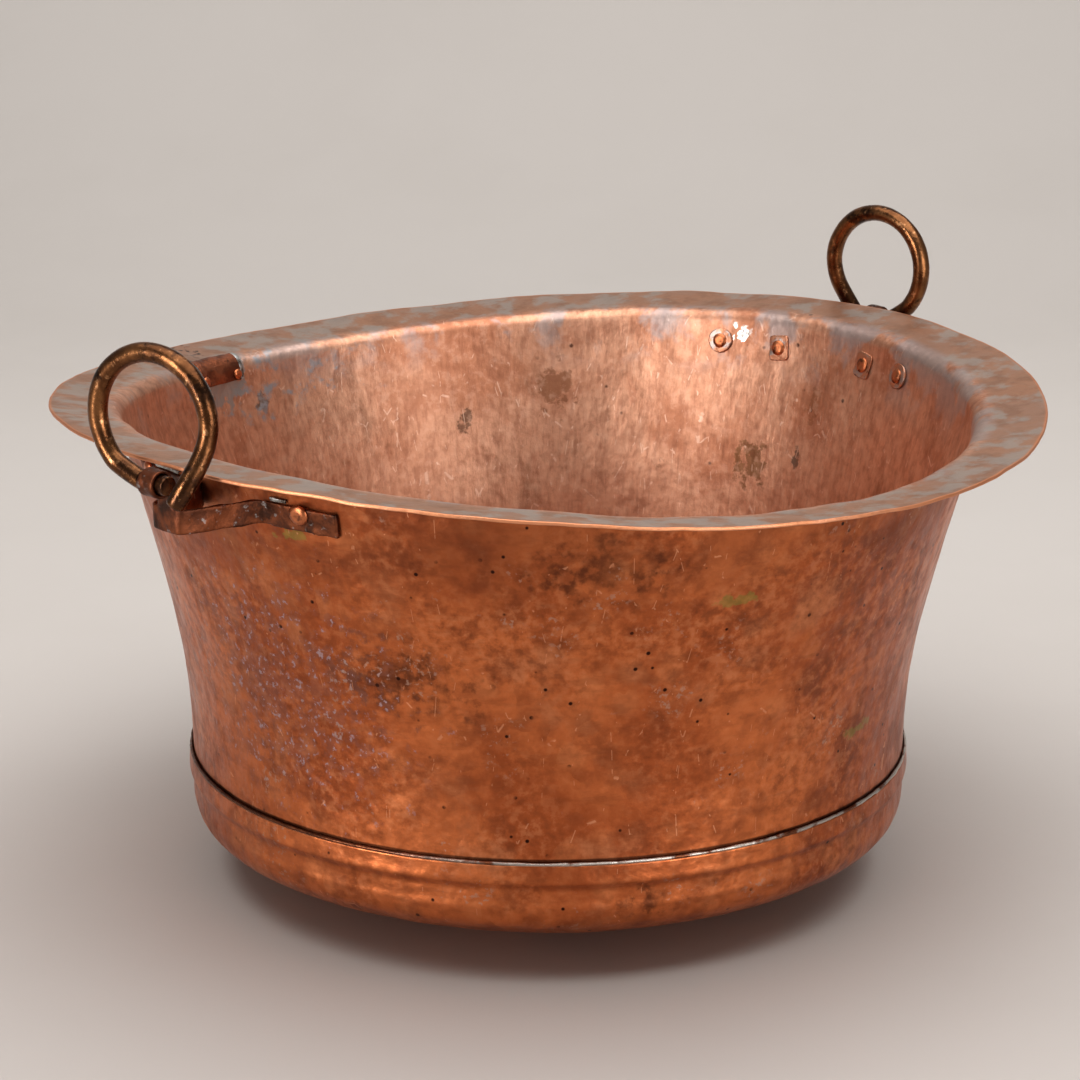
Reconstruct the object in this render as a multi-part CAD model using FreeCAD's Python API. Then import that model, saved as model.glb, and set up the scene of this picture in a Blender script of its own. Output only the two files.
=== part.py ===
"""Open copper kettle: a hammered side wall with a turned-out rim, a soldered
bottom pan and two ring handles that turn in riveted straps.

Millimetres. +Z is up. The origin is the middle of the base, on the floor, and
the two handles stand on the X axis.
"""
import FreeCAD, Part
import math
import os

V = FreeCAD.Vector
UP = V(0, 0, 1)

# ---- driving dimensions ------------------------------------------------------
SHEET = 2.0                # copper sheet of the wall and the pan
GAP = 0.05                 # solder film, or hairline, between pieces that touch

RIM_RADIUS = 300.0
RIM_WAVE = 10.0            # the rim stands this much higher at the handles
FLANGE_SLOPE = 7.0         # degrees that the rim rises towards its edge
RIM_BEND = 8.0             # radius of the bend under the rim
WALL_OUTLINE = [           # outer face of the wall: radius, height
    (221.4, 68.0), (221.6, 88.0), (222.9, 118.0), (226.6, 148.0), (232.3, 178.0),
    (239.4, 208.0), (247.3, 238.0), (254.9, 266.0), (258.5, 285.0)]
WAVE_START = 78.0          # the wall is round at this height and below

COLLAR_TOP = 78.0          # top edge of the pan's collar, outside the wall
COLLAR_FOOT = 67.0         # the collar steps in under the wall's lower edge
NECK = (222.3, 63.0)       # where the step ends: radius, height
BELLY = (221.9, 50.0)
KNUCKLE = [(218.9, 40.5), (210.6, 33.0), (196.0, 27.0)]
DISH = [(165.0, 18.6), (128.0, 9.6), (100.0, 3.6), (78.0, 0.7)]
FOOT_FLAT = 60.0           # radius of the flat that the kettle stands on

# Each handle, in degrees: its place round the rim, the twist of its ring, and then,
# counted from its place, the strap's ends, the rivets and the runs of solder.
HANDLES = {
    "right": {"place": 0.0, "twist": 4.0, "ends": (-21.0, 21.5),
              "rivets": (-17.3, -9.0, 7.9, 18.3), "solder": ((-15.4, -10.9), (9.8, 16.3))},
    "left": {"place": 183.5, "twist": 14.0, "ends": (-21.5, 16.6),
             "rivets": (-18.3, -8.3, 11.4), "solder": ((-16.3, -10.3), (7.0, 9.5))}}
EYE_X = 309.5              # hinge line of a ring handle, just outside the rim
EYE_Z = 299.0
ROD = 5.5                  # radius of the ring's rod
EYE_CLEARANCE = 0.1
EYE_WALL = 2.2
EYE_LENGTH = 12.0
EYE_LEAF_HALF = 9.0        # the strap is flat this far either side of the eye
RING_RADIUS = 36.0         # middle of the rod
RING_DROP = 1.0
RING_FOOT = [              # the ring's open end, outside the rim: across, up, outwards
    (35.6, 27.0, 1.6), (34.8, 18.5, 5.2), (33.0, 10.0, 9.8), (30.4, 2.0, 13.6),
    (27.2, -5.0, 15.5)]
EYE_END = 11.0             # the ring's inner end, past the eye
EYE_STRAIGHT = -12.0       # the rod is straight from its end to here
FIRST_TURN = 42.0          # degrees round the ring where its curve starts
LAST_TURN = 270.0          # and where its foot starts

STRAP_THICK = 2.2
STRAP_SEAT = 0.3           # the strap bridges the swell of the wall behind it
STRAP_LOW = 271.0
STRAP_HIGH = 289.0
STRAP_ROOT = 6.0           # degrees where the strap leaves the wall
RIVET_HEIGHT = 280.0
RIVET_SEAT = 0.15          # hairline under a rivet's head
SHANK = 3.3
HEAD_RADIUS = 6.0
HEAD_HEIGHT = 2.4
TAIL_RADIUS = 5.0
TAIL_HEIGHT = 1.6
WASHER_RADIUS = 8.5
WASHER_THICK = 1.5
WASHER_RELIEF = 0.45       # a flat washer bridges the hollow of the round wall

PATCH_ANGLE = 103.5        # middle of the repair patch, inside the wall
PATCH_HALF_TURN = 4.4
PATCH_LOW = 277.0          # from here up onto the bend under the rim
PATCH_HIGH_X = 268.5
PATCH_THICK = 1.2
PATCH_SEAT = 0.35          # the patch bridges the swell of the wall behind it
PATCH_BORDER = 0.7         # degrees of solder either side
PATCH_CRACK = 0.03
PATCH_RIVETS = ((99.9, 281.5), (107.2, 281.0))
PATCH_SHANK = 2.4
PATCH_RIVET_SEAT = 0.3     # hairline under either end of a patch rivet

# ---- the wall's skin ---------------------------------------------------------
WALL_STEPS = 15
BEND_STEPS = 6
FLANGE_STEPS = 5
TURN_STEPS = 48
PATCH_STEPS = 8
HALVINGS = 30              # a height is found along the profile by this many halvings


def wall_profile():
    curve = Part.BSplineCurve()
    curve.interpolate([V(r, 0, z) for r, z in WALL_OUTLINE])
    return curve


PROFILE = wall_profile()


def profile_station(at):
    """Outer face and left normal at a place along the wall's profile."""
    along = PROFILE.tangent(at)[0]
    return PROFILE.value(at), V(-along.z, 0, along.x)


def wall_stations():
    """Points and left normals along the outer face, from the seam to the rim's edge."""
    first, last = PROFILE.FirstParameter, PROFILE.LastParameter
    stations = []
    for step in range(WALL_STEPS):
        stations.append(profile_station(first + (last - first) * step / (WALL_STEPS - 1)))
    top, lean = stations[-1]
    start = math.atan2(lean.z, -lean.x)
    middle = top - lean * RIM_BEND
    turn = math.pi / 2 - math.radians(FLANGE_SLOPE) - start
    for step in range(1, BEND_STEPS + 1):
        at = start + turn * step / BEND_STEPS
        out = V(-math.cos(at), 0, math.sin(at))
        stations.append((middle + out * RIM_BEND, out))
    edge, out = stations[-1]
    reach = (RIM_RADIUS - edge.x) / math.cos(math.radians(FLANGE_SLOPE))
    along = V(out.z, 0, -out.x)
    for step in range(1, FLANGE_STEPS + 1):
        stations.append((edge + along * (reach * step / FLANGE_STEPS), out))
    return stations


STATIONS = wall_stations()
RIM_Z = STATIONS[-1][0].z


def wave(height, turn):
    """How much the hand-beaten wall is lifted at a height and an angle in radians."""
    share = (height - WAVE_START) / (RIM_Z - WAVE_START)
    return RIM_WAVE * max(share, 0.0) ** 1.2 * math.cos(2 * turn)


def on_skin(point, out, depth, turn, place=0.0):
    """A point of the wall: depth is measured inwards from the outer face. A handle's
    own pieces are drawn about +X and carry the wave of their place round the rim."""
    moved = point + out * depth
    lift = wave(point.z, turn + place)
    return V(moved.x * math.cos(turn), moved.x * math.sin(turn), moved.z + lift)


def skin_at(height):
    """Outer face and normal at a height below the bend, before the wave lifts it."""
    low, high = PROFILE.FirstParameter, PROFILE.LastParameter
    for _ in range(HALVINGS):
        middle = (low + high) / 2
        if PROFILE.value(middle).z < height:
            low = middle
        else:
            high = middle
    return profile_station(low)


def skin_face(depth):
    rows = []
    for point, out in STATIONS:
        turns = [2 * math.pi * step / TURN_STEPS for step in range(TURN_STEPS)]
        rows.append([on_skin(point, out, depth, turn) for turn in turns + [0.0]])
    surface = Part.BSplineSurface()
    surface.interpolate(rows)
    return surface.toShape()


def rim_edges(face):
    """The two level loops of a skin, the lower one first."""
    loops = [edge for edge in face.Edges if edge.Length > 4 * RIM_RADIUS and edge.isClosed()]
    return sorted(loops, key=lambda edge: edge.BoundBox.ZMax)


def make_raw_wall():
    outer = skin_face(0.0)
    inner = skin_face(SHEET)
    ribbons = [Part.makeRuledSurface(a, b) for a, b in zip(rim_edges(outer), rim_edges(inner))]
    shell = Part.makeShell([outer, inner] + ribbons)
    shell.sewShape()
    solid = Part.Solid(shell)
    return solid if solid.Volume > 0 else solid.reversed()


def skin_strip(stations, angles, near, far, place=0.0):
    """A sheet that follows the wall, between two depths, through angles in degrees."""
    sections = []
    for angle in angles:
        turn = math.radians(angle)
        loop = [on_skin(point, out, near, turn, place) for point, out in stations]
        loop += [on_skin(point, out, far, turn, place) for point, out in reversed(stations)]
        sections.append(Part.makePolygon(loop + loop[:1]))
    return Part.makeLoft(sections, True, True)


def steps_between(low, high, count):
    return [low + (high - low) * step / count for step in range(count + 1)]


# ---- pan and seam ------------------------------------------------------------
def offset_points(curve, distance, count):
    first, last = curve.FirstParameter, curve.LastParameter
    points = []
    for at in steps_between(first, last, count):
        along = curve.tangent(at)[0]
        points.append(curve.value(at) + V(-along.z, 0, along.x) * distance)
    return points


def make_pan():
    """Revolved sheet: collar, step, knuckle and shallow dish with a flat middle."""
    collar_inner = WALL_OUTLINE[0][0] + 0.3 + GAP
    collar_outer = collar_inner + SHEET
    ring = [NECK, BELLY] + KNUCKLE + DISH
    outer = Part.BSplineCurve()
    outer.interpolate([V(r, 0, z) for r, z in [(collar_outer + 0.6, COLLAR_FOOT)] + ring
                       + [(FOOT_FLAT, 0.0)]])
    inner_points = offset_points(outer, -SHEET, 40)
    inner_points = [p for p in inner_points if p.z < COLLAR_FOOT - 2.2]
    inner = Part.BSplineCurve()
    inner.interpolate(inner_points)
    shelf_z = WALL_OUTLINE[0][1] - GAP
    start = V(collar_inner, 0, COLLAR_TOP)
    corner = V(collar_inner, 0, shelf_z)
    lip = V(collar_outer, 0, COLLAR_TOP)
    outer_first = outer.value(outer.FirstParameter)
    outer_last = outer.value(outer.LastParameter)
    inner_first = inner.value(inner.FirstParameter)
    inner_last = inner.value(inner.LastParameter)
    edges = [
        Part.LineSegment(start, lip).toShape(),
        Part.LineSegment(lip, outer_first).toShape(),
        outer.toShape(),
        Part.LineSegment(outer_last, V(0, 0, 0)).toShape(),
        Part.LineSegment(V(0, 0, 0), V(0, 0, inner_last.z)).toShape(),
        Part.LineSegment(V(0, 0, inner_last.z), inner_last).toShape(),
        inner.toShape(),
        Part.LineSegment(inner_first, corner).toShape(),
        Part.LineSegment(corner, start).toShape()]
    face = Part.Face(Part.Wire(Part.__sortEdges__(edges)))
    return face.revolve(V(0, 0, 0), UP, 360)


def make_seam_solder():
    """Bead of solder in the corner between the wall and the collar's top edge."""
    wall_r = WALL_OUTLINE[0][0] + 0.3 + GAP
    section = [V(wall_r, 0, COLLAR_TOP + GAP), V(wall_r + 2.1, 0, COLLAR_TOP + GAP),
               V(wall_r + 1.6, 0, COLLAR_TOP + 1.5), V(wall_r, 0, COLLAR_TOP + 3.2)]
    return Part.Face(Part.makePolygon(section + section[:1])).revolve(V(0, 0, 0), UP, 360)


# ---- handles, straps and rivets ----------------------------------------------
def on_wall(turn, height):
    """Placement on the wall's outer face: its own Z points straight out of the wall."""
    point, out = skin_at(height)
    lift = wave(point.z, turn)
    spot = V(point.x * math.cos(turn), point.x * math.sin(turn), point.z + lift)
    normal = V(-out.x * math.cos(turn), -out.x * math.sin(turn), -out.z)
    return FreeCAD.Placement(spot, FreeCAD.Rotation(UP, normal))


def unlifted(turn, height):
    """Height before the wave, for a feature at a given height above the floor."""
    guess = height
    for _ in range(8):
        guess = height - wave(guess, turn)
    return guess


def rivet_spot(angle, height):
    turn = math.radians(angle)
    return on_wall(turn, unlifted(turn, height))


def cylinder(radius, low, high):
    return Part.makeCylinder(radius, high - low, V(0, 0, low))


def placed(shape, placement):
    moved = shape.copy()
    moved.Placement = placement.multiply(shape.Placement)
    return moved


def crown(radius, foot, height):
    """Edges of a low rounded crown, from its rim at a foot height in to the axis."""
    shoulder = V(radius, 0, foot + height * 0.3)
    top = V(radius * 0.3, 0, foot + height)
    middle = V(radius * 0.78, 0, foot + height * 0.78)
    return [Part.LineSegment(V(radius, 0, foot), shoulder).toShape(),
            Part.Arc(shoulder, middle, top).toShape(),
            Part.LineSegment(top, V(0, 0, foot + height)).toShape()]


def make_rivet(shank, head_foot, tail_foot):
    """Shank with a flat-domed head outside and a beaten-over tail inside."""
    head = HEAD_RADIUS * shank / SHANK
    tail = TAIL_RADIUS * shank / SHANK
    edges = crown(head, head_foot, HEAD_HEIGHT) + crown(tail, tail_foot, -TAIL_HEIGHT)
    edges += [
        Part.LineSegment(V(head, 0, head_foot), V(shank, 0, head_foot)).toShape(),
        Part.LineSegment(V(shank, 0, head_foot), V(shank, 0, tail_foot)).toShape(),
        Part.LineSegment(V(shank, 0, tail_foot), V(tail, 0, tail_foot)).toShape(),
        Part.LineSegment(V(0, 0, tail_foot - TAIL_HEIGHT),
                         V(0, 0, head_foot + HEAD_HEIGHT)).toShape()]
    face = Part.Face(Part.Wire(Part.__sortEdges__(edges)))
    return face.revolve(V(0, 0, 0), UP, 360)


def make_washer(square):
    """Beaten copper washer inside the wall, round or roughly square."""
    low = -SHEET - WASHER_RELIEF - WASHER_THICK
    if not square:
        return cylinder(WASHER_RADIUS, low, low + WASHER_THICK)
    side = 2 * WASHER_RADIUS
    block = Part.makeBox(side, side * 0.85, WASHER_THICK, V(-side / 2, -side * 0.425, low))
    corners = [edge for edge in block.Edges if abs(edge.tangentAt(edge.FirstParameter).z) > 0.9]
    return block.makeFillet(WASHER_RADIUS * 0.35, corners)


def strap_side(end, low, high, place):
    """Four-cornered sections of one half of the strap, from its end to the eye's leaf."""
    side = math.copysign(1, end)
    sections = []
    for angle in steps_between(abs(end), STRAP_ROOT, 10):
        turn = math.radians(side * angle)
        sections.append([on_skin(point, out, depth, turn, place)
                         for depth, (point, out) in ((-STRAP_SEAT, low), (-STRAP_SEAT, high),
                                                     (-STRAP_SEAT - STRAP_THICK, high),
                                                     (-STRAP_SEAT - STRAP_THICK, low))])
    root = math.radians(STRAP_ROOT)
    middle = on_skin((low[0] + high[0]) * 0.5, low[1], -STRAP_SEAT - STRAP_THICK / 2, root,
                     place)
    lean = (high[0].x - low[0].x) / 2
    bottom, top = sections[-1][0].z, sections[-1][1].z
    front = EYE_X - ROD - EYE_CLEARANCE - EYE_WALL / 2
    rise, run = front - middle.x, EYE_LEAF_HALF - middle.y
    for share in steps_between(0.0, 1.0, 14)[1:]:
        x = middle.x + rise * share * share * (3 - 2 * share)
        y = middle.y + run * share
        along = V(rise * 6 * share * (1 - share), run, 0).normalize()
        across = V(-along.y, along.x, 0) * (STRAP_THICK / 2)
        tilt = lean * (1 - share)
        corners = []
        for sign, shift, z in ((-1, -tilt, bottom), (-1, tilt, top),
                               (1, tilt, top), (1, -tilt, bottom)):
            corners.append(V(x + shift + sign * across.x, side * (y + sign * across.y), z))
        sections.append(corners)
    return sections


def make_strap(place, ends):
    """Riveted strap, drawn on +X, with its middle rolled into an eye."""
    low = skin_at(unlifted(0.0, STRAP_LOW))
    high = skin_at(unlifted(0.0, STRAP_HIGH - 4.0))
    halves = [strap_side(end, low, high, place) for end in ends]
    sections = halves[0] + halves[1][::-1]
    band = Part.makeLoft([Part.makePolygon(c + c[:1]) for c in sections], True, True)
    return band.fuse(make_eye(halves[0][-1][0].z)).removeSplitter()


def make_eye(leaf_low):
    """Leaf and rolled knuckle that hold the ring's rod, open by a slit at the back."""
    bore = ROD + EYE_CLEARANCE
    outside = bore + EYE_WALL
    start = V(EYE_X, -EYE_LENGTH / 2, EYE_Z)
    tube = Part.makeCylinder(outside, EYE_LENGTH, start, V(0, 1, 0))
    leaf = Part.makeBox(EYE_WALL, EYE_LENGTH, EYE_Z - leaf_low,
                        V(EYE_X - outside, -EYE_LENGTH / 2, leaf_low))
    hole = Part.makeCylinder(bore, EYE_LENGTH + 2, start - V(0, 1, 0), V(0, 1, 0))
    slit = Part.makeBox(2 * EYE_WALL, EYE_LENGTH + 2, 1.2,
                        V(EYE_X - bore - 0.3, -EYE_LENGTH / 2 - 1, EYE_Z - outside + 1.6))
    return tube.fuse(leaf).cut(hole).cut(slit)


def make_ring(twist):
    """Open ring, drawn on +X: straight through the eye, round, and down outside the rim.
    Past the eye its plane is twisted about the upright, by an angle in degrees."""
    twist = math.radians(twist)
    inside_eye = steps_between(EYE_END, -EYE_LENGTH / 2, 4)
    beside_eye = steps_between(-EYE_LENGTH / 2, EYE_STRAIGHT, 5)[1:]
    points = [V(EYE_X, y, EYE_Z) for y in inside_eye + beside_eye]
    bow = []
    for angle in steps_between(FIRST_TURN, LAST_TURN, 19):
        turn = math.radians(angle)
        bow.append((-RING_RADIUS * math.sin(turn), RING_RADIUS * (1 - math.cos(turn)), 0.0))
    for across, up, out in bow + RING_FOOT:
        points.append(V(EYE_X + out - across * math.sin(twist), across * math.cos(twist),
                        EYE_Z + up - RING_DROP))
    curve = Part.BSplineCurve()
    curve.interpolate(points)
    circle = Part.Circle(points[0], V(0, -1, 0), ROD)
    path = Part.Wire([curve.toShape()])
    return path.makePipeShell([Part.Wire([circle.toShape()])], True, False)


def make_strap_solder(place, runs):
    """Runs of solder along the top of the strap, clear of its rivets."""
    low = skin_at(unlifted(0.0, STRAP_HIGH - 4.0) + 0.4)
    high = skin_at(low[0].z + 2.4)
    beads = []
    for start, end in runs:
        beads.append(skin_strip([low, high], steps_between(start, end, 6), -STRAP_SEAT,
                                -STRAP_SEAT - STRAP_THICK * 0.8, place))
    return Part.makeCompound(beads)


def turned(shape, degrees):
    other = shape.copy()
    other.rotate(V(0, 0, 0), UP, degrees)
    return other


# ---- repair patch ------------------------------------------------------------
def patch_strip(low_z, high_x, start, end, far):
    """A sheet over the inside of the wall and up onto the bend, between two angles."""
    inside = [(p, n) for p, n in STATIONS if low_z < p.z and p.x < high_x]
    angles = steps_between(start, end, PATCH_STEPS)
    return skin_strip([skin_at(low_z)] + inside, angles, SHEET + PATCH_SEAT, far)


def make_patch():
    start, end = PATCH_ANGLE - PATCH_HALF_TURN, PATCH_ANGLE + PATCH_HALF_TURN
    far = SHEET + PATCH_SEAT + PATCH_THICK
    return patch_strip(PATCH_LOW, PATCH_HIGH_X, start, end, far)


def make_patch_solder():
    """Solder border, a run down each side of the patch, that seals it to the wall."""
    far = SHEET + PATCH_SEAT + PATCH_THICK * 0.7
    runs = []
    for side in (-1, 1):
        near_edge = PATCH_ANGLE + side * (PATCH_HALF_TURN + PATCH_CRACK)
        far_edge = near_edge + side * PATCH_BORDER
        start, end = sorted((near_edge, far_edge))
        runs.append(patch_strip(PATCH_LOW, PATCH_HIGH_X, start, end, far))
    return Part.makeCompound(runs)


# ---- assembly ----------------------------------------------------------------
def add_handle(nodes, side, handle):
    """One handle's strap, ring, solder, rivets and washers. Returns the holes it needs."""
    degrees = handle["place"]
    place = math.radians(degrees)
    strap = turned(make_strap(place, handle["ends"]), degrees)
    solder = make_strap_solder(place, handle["solder"])
    nodes["ring_handle_" + side] = turned(make_ring(handle["twist"]), degrees)
    nodes["strap_solder_" + side] = turned(solder, degrees)
    holes = []
    for number, angle in enumerate(handle["rivets"], 1):
        spot = rivet_spot(degrees + angle, RIVET_HEIGHT)
        hole = placed(cylinder(SHANK, -8, 8), spot)
        holes.append(hole)
        head_foot = STRAP_SEAT + STRAP_THICK + RIVET_SEAT
        tail_foot = -SHEET - WASHER_RELIEF - WASHER_THICK - GAP
        nodes["strap_rivet_%s_%d" % (side, number)] = placed(
            make_rivet(SHANK, head_foot, tail_foot), spot)
        washer = placed(make_washer(number in (2, 3)), spot)
        nodes["rivet_washer_%s_%d" % (side, number)] = washer.cut(hole)
        strap = strap.cut(hole)
    nodes["handle_strap_" + side] = strap
    return holes


def add_patch(nodes):
    """The repair patch, its solder and its two rivets. Returns the holes it needs."""
    patch = make_patch()
    holes = []
    for number, (angle, height) in enumerate(PATCH_RIVETS, 1):
        spot = on_wall(math.radians(angle), height)
        hole = placed(cylinder(PATCH_SHANK, -8, 8), spot)
        holes.append(hole)
        patch = patch.cut(hole)
        tail_foot = -SHEET - PATCH_SEAT - PATCH_THICK - PATCH_RIVET_SEAT
        nodes["patch_rivet_%d" % number] = placed(
            make_rivet(PATCH_SHANK, PATCH_RIVET_SEAT, tail_foot), spot)
    nodes["repair_patch"] = patch
    nodes["patch_solder"] = make_patch_solder()
    return holes


def build():
    nodes = {"bottom_pan": make_pan(), "seam_solder": make_seam_solder()}
    holes = add_patch(nodes)
    for side, handle in HANDLES.items():
        holes += add_handle(nodes, side, handle)
    nodes["side_wall"] = make_raw_wall().cut(holes)
    return nodes


if __name__ == "__main__":
    os.makedirs("parts", exist_ok=True)
    for name, shape in sorted(build().items()):
        box = shape.BoundBox
        print("%-24s valid %s solids %d volume %9.1f  x %.1f..%.1f y %.1f..%.1f z %.1f..%.1f" % (
            name, shape.isValid(), len(shape.Solids), shape.Volume,
            box.XMin, box.XMax, box.YMin, box.YMax, box.ZMin, box.ZMax))
        shape.exportStep("parts/%s.step" % name)
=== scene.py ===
# %% [markdown]
# # A hammered copper kettle
# An open kettle is three sheets of copper and some ironmonger's work: a flared side
# wall with a turned-out rim, a bottom pan soldered on below it, and two ring handles
# that turn in riveted straps. The solid model is loaded first and never moved. Each
# plain solid then gives its place to a detailed piece of the same size.

# %% Load the solid model
import math

import bmesh
import bpy
from mathutils import Matrix, Vector, noise


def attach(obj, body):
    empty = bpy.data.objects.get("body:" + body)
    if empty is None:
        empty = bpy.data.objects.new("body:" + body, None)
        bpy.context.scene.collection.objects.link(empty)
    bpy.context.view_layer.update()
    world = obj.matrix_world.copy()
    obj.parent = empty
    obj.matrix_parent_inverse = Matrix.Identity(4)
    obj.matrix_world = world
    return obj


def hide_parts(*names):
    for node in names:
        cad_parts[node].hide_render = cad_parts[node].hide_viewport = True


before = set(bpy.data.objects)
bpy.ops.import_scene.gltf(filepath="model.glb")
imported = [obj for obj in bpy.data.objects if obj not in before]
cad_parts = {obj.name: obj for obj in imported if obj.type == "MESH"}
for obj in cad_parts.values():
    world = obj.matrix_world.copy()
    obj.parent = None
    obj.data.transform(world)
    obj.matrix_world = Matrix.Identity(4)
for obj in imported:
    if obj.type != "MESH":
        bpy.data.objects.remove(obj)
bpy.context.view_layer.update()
MM = 0.001
RIM_MEAN = 0.298

# %% [markdown]
# ## Camera
# A long lens from a little above keeps the mouth's ellipse shallow. The camera stands
# in the direction between the two handles, so that one ring is near and one is far.

# %% Camera
VIEW_SIDE = -44.0
CAMERA_YAW = 0.17
CAMERA_BACK = 1.7007
CAMERA_RISE = 0.3912
CAMERA_PITCH = 0.2788
LENS = 95.48


def seen_from_camera(right, away, height):
    """A place given to the camera's right and away from it, turned into the kettle's axes."""
    turn = math.radians(VIEW_SIDE)
    return Vector((right * math.cos(turn) - away * math.sin(turn),
                   right * math.sin(turn) + away * math.cos(turn), height))


camera_data = bpy.data.cameras.new("camera")
camera_data.lens = LENS
camera = bpy.data.objects.new("camera", camera_data)
bpy.context.scene.collection.objects.link(camera)
camera.location = seen_from_camera(0.0, -CAMERA_BACK, RIM_MEAN + CAMERA_RISE)
view_turn = math.radians(VIEW_SIDE + CAMERA_YAW)
camera.rotation_euler = (math.pi / 2 - CAMERA_PITCH, 0.0, view_turn)
bpy.context.scene.camera = camera
print("camera at", tuple(round(c, 3) for c in camera.location))

# %% [markdown]
# ## Floor, backdrop and light
# A studio sweep is one sheet of paper that curves up behind the object, so it has no
# horizon line. It is drawn as a side outline and extruded sideways. Metal shows what
# stands around it, so the lamps are large and soft: two tall boxes in front, left and
# right, and a wide one overhead.


# %% Floor and backdrop
def link_mesh(name, bm):
    """Turns a bmesh into a smooth-shaded object at the origin."""
    mesh = bpy.data.meshes.new(name)
    bm.to_mesh(mesh)
    bm.free()
    mesh.polygons.foreach_set("use_smooth", [True] * len(mesh.polygons))
    piece = bpy.data.objects.new(name, mesh)
    bpy.context.scene.collection.objects.link(piece)
    return piece


def chain(bm, points):
    """Vertices joined in a row by edges."""
    verts = [bm.verts.new(p) for p in points]
    edges = [bm.edges.new(pair) for pair in zip(verts, verts[1:])]
    return verts, edges


FLOOR_FRONT = -4.0
FLOOR_BACK = 1.6
BEND = 1.3
BEND_STEPS = 16
PAPER_TOP = 6.0
PAPER_HALF = 5.0


def make_sweep():
    """The floor, a quarter-circle bend and the wall behind, as one sheet."""
    bm = bmesh.new()
    arc = [(FLOOR_BACK + BEND * math.sin(a), BEND - BEND * math.cos(a))
           for a in (math.pi / 2 * step / BEND_STEPS for step in range(BEND_STEPS + 1))]
    side = [(FLOOR_FRONT, 0.0)] + arc + [(FLOOR_BACK + BEND, PAPER_TOP)]
    verts, edges = chain(bm, [seen_from_camera(-PAPER_HALF, away, up) for away, up in side])
    grown = bmesh.ops.extrude_edge_only(bm, edges=edges)["geom"]
    moved = [v for v in grown if isinstance(v, bmesh.types.BMVert)]
    bmesh.ops.translate(bm, verts=moved, vec=seen_from_camera(2 * PAPER_HALF, 0.0, 0.0))
    bmesh.ops.recalc_face_normals(bm, faces=bm.faces)
    if bm.faces[0].normal.z < 0:
        bmesh.ops.reverse_faces(bm, faces=bm.faces)
    return link_mesh("studio_sweep", bm)


sweep = make_sweep()
print("sweep of", len(sweep.data.polygons), "faces")


# %% Lamps
def soft_box(name, right, away, up, width, height, power, aim=(0.0, 0.0, 0.18)):
    """A lit panel, in metres and watts, that stands at a place and faces another."""
    data = bpy.data.lights.new(name, "AREA")
    data.shape = "RECTANGLE"
    data.size, data.size_y = width, height
    data.energy = power
    lamp = bpy.data.objects.new(name, data)
    bpy.context.scene.collection.objects.link(lamp)
    lamp.location = seen_from_camera(right, away, up)
    direction = Vector(aim) - lamp.location
    lamp.rotation_euler = direction.to_track_quat("-Z", "Y").to_euler()
    return lamp


# %% [markdown]
# The two tall boxes only draw streaks of light on the metal: the paper does not see
# them, so they wash no light under the kettle and its shadow stays deep. The paper is
# lit by the wide box overhead.

# %% Place the lamps
streaks = [soft_box("box_left", -1.70, -1.50, 0.55, 0.50, 1.1, 35.0),
           soft_box("box_right", 1.45, -1.85, 0.55, 1.10, 1.1, 27.0)]
for lamp in streaks:
    lamp.visible_diffuse = False
soft_box("box_over", 0.1, -0.35, 2.4, 3.4, 2.4, 79.0, aim=(0.0, 0.0, 0.0))
soft_box("box_back", 0.0, 1.0, 2.7, 3.4, 0.8, 30.0, aim=seen_from_camera(0.0, 2.9, 0.9))
ROOM_TONE = (0.80, 0.78, 0.76, 1.0)
ROOM_STRENGTH = 0.30
world = bpy.data.worlds.new("studio")
world.use_nodes = True
room = world.node_tree.nodes["Background"]
room.inputs["Color"].default_value = ROOM_TONE
room.inputs["Strength"].default_value = ROOM_STRENGTH
bpy.context.scene.world = world
bpy.context.scene.view_settings.view_transform = "Standard"

# %% [markdown]
# ## Finishes
# Old copper is one metal with many skins: bare and bright where it is rubbed, brown
# where it has oxidised, purple-grey where it was heated, green where it was wet, and
# grey with tin inside. Each finish is built the same way: a few tones laid over each
# other through noise masks, then roughness and a fine bump. Everything reads Object
# coordinates, so the pattern sits still on the metal.


# %% A small kit for finishes
def srgb(red, green, blue):
    """A colour as a screen shows it, 0 to 255, turned into linear light."""
    linear = []
    for value in (red, green, blue):
        share = value / 255.0
        linear.append(share / 12.92 if share <= 0.04045 else ((share + 0.055) / 1.055) ** 2.4)
    return (*linear, 1.0)


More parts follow.
